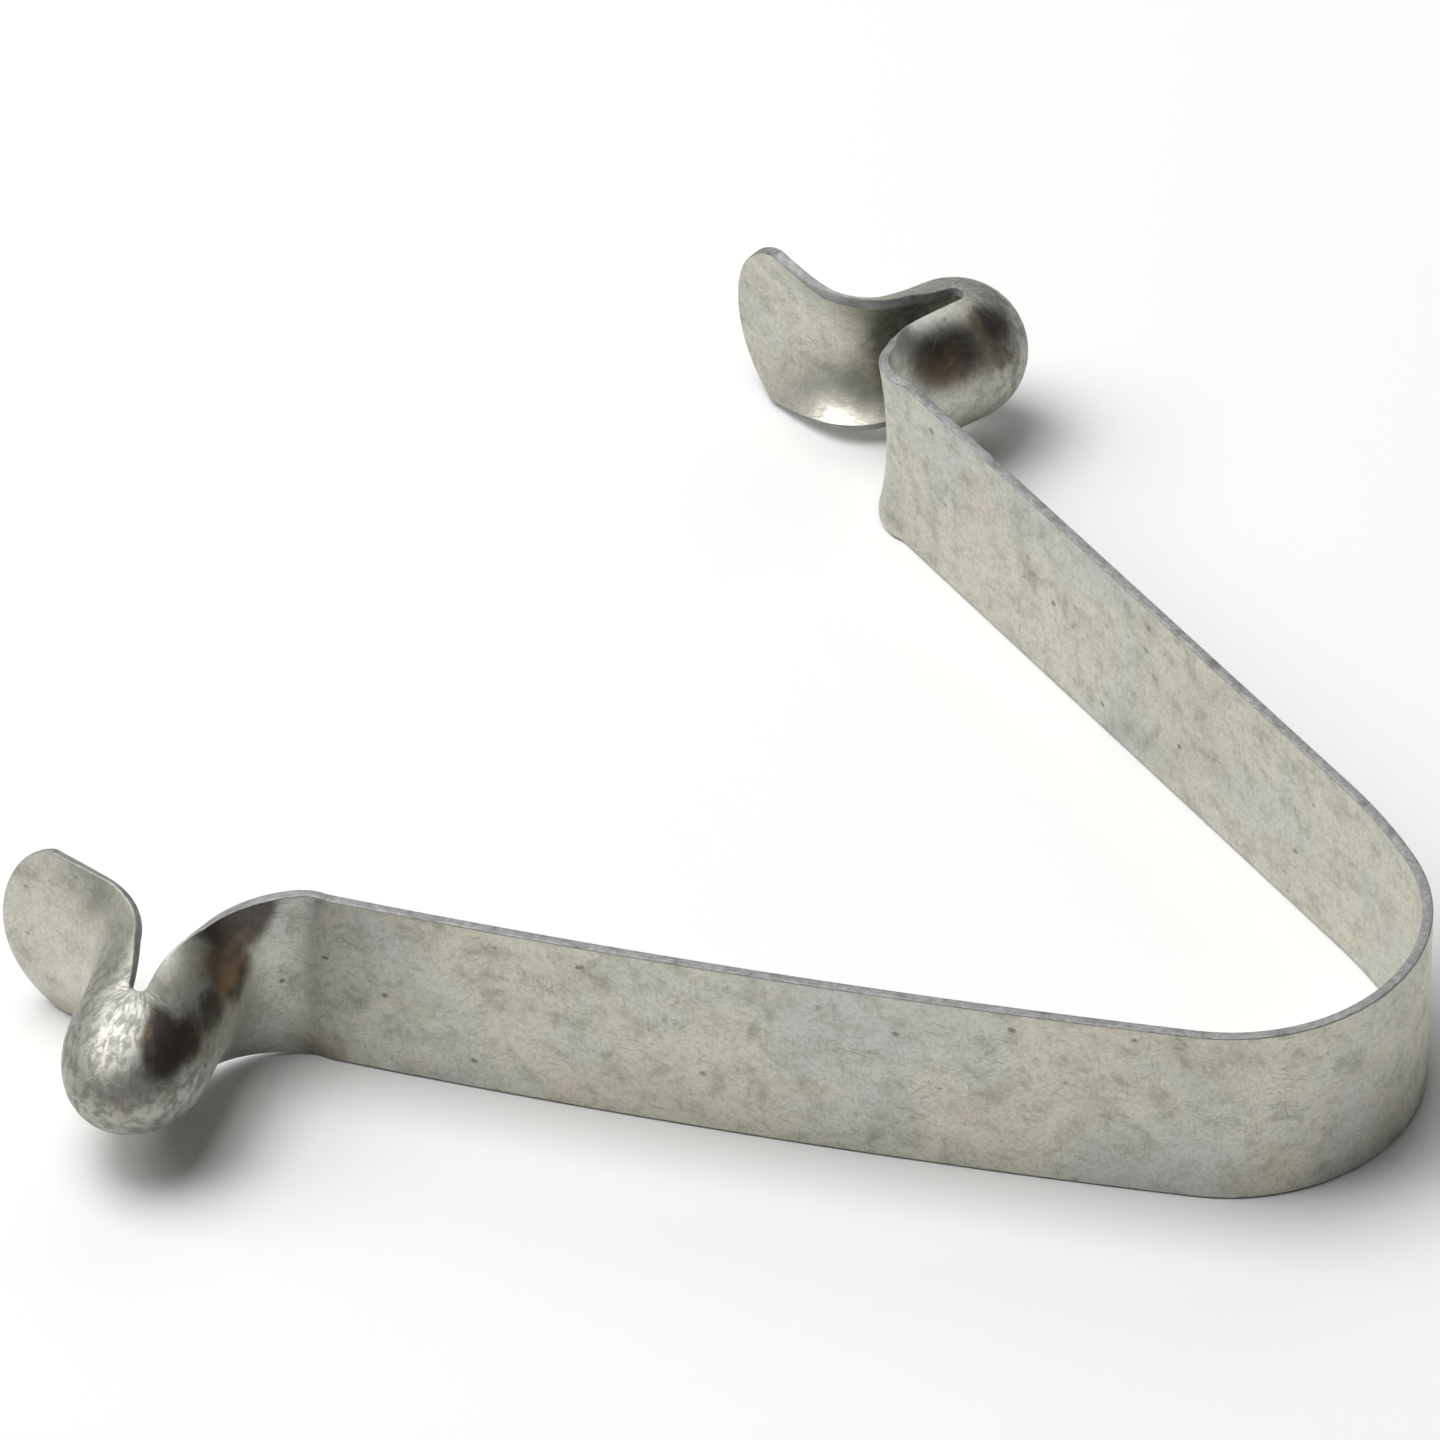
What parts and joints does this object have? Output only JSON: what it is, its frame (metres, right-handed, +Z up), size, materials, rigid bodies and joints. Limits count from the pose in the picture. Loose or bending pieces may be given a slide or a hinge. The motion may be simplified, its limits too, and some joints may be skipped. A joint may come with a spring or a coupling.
{
  "type": "double button spring clip",
  "caption": "V-shaped flat spring clip with round snap buttons and spoon-shaped finger ears at its open ends, for locking telescoping tubes.",
  "frame": {"origin": "centre of the clip's footprint, on the plane of the strip's lower edges", "axes": "+Z up across the strip's width; +X from the open end towards the round of the bow; +Y towards the rear arm"},
  "size_m": [0.0672, 0.0846, 0.011],
  "materials": {
    "zinc_plating": "dull zinc plating over spring steel, mottled warm grey with fine specks and rolling streaks, browner in the hollows behind the buttons"
  },
  "bodies": {
    "bow": {"bow": "zinc_plating"},
    "front_arm": {"front_leg": "zinc_plating", "front_button": "zinc_plating", "front_ear": "zinc_plating"},
    "rear_arm": {"rear_leg": "zinc_plating", "rear_button": "zinc_plating", "rear_ear": "zinc_plating"}
  },
  "joints": [
    {"name": "front_squeeze", "type": "hinge", "parent": "bow", "child": "front_arm", "pos_m": [0.02781, -0.00923, 0], "axis": [0, 0, -1], "range_deg": [0, 20], "stiffness_Nm_per_rad": 1.4},
    {"name": "rear_squeeze", "type": "hinge", "parent": "bow", "child": "rear_arm", "pos_m": [0.02781, 0.00923, 0], "axis": [0, 0, 1], "range_deg": [0, 20], "stiffness_Nm_per_rad": 1.4}
  ]
}
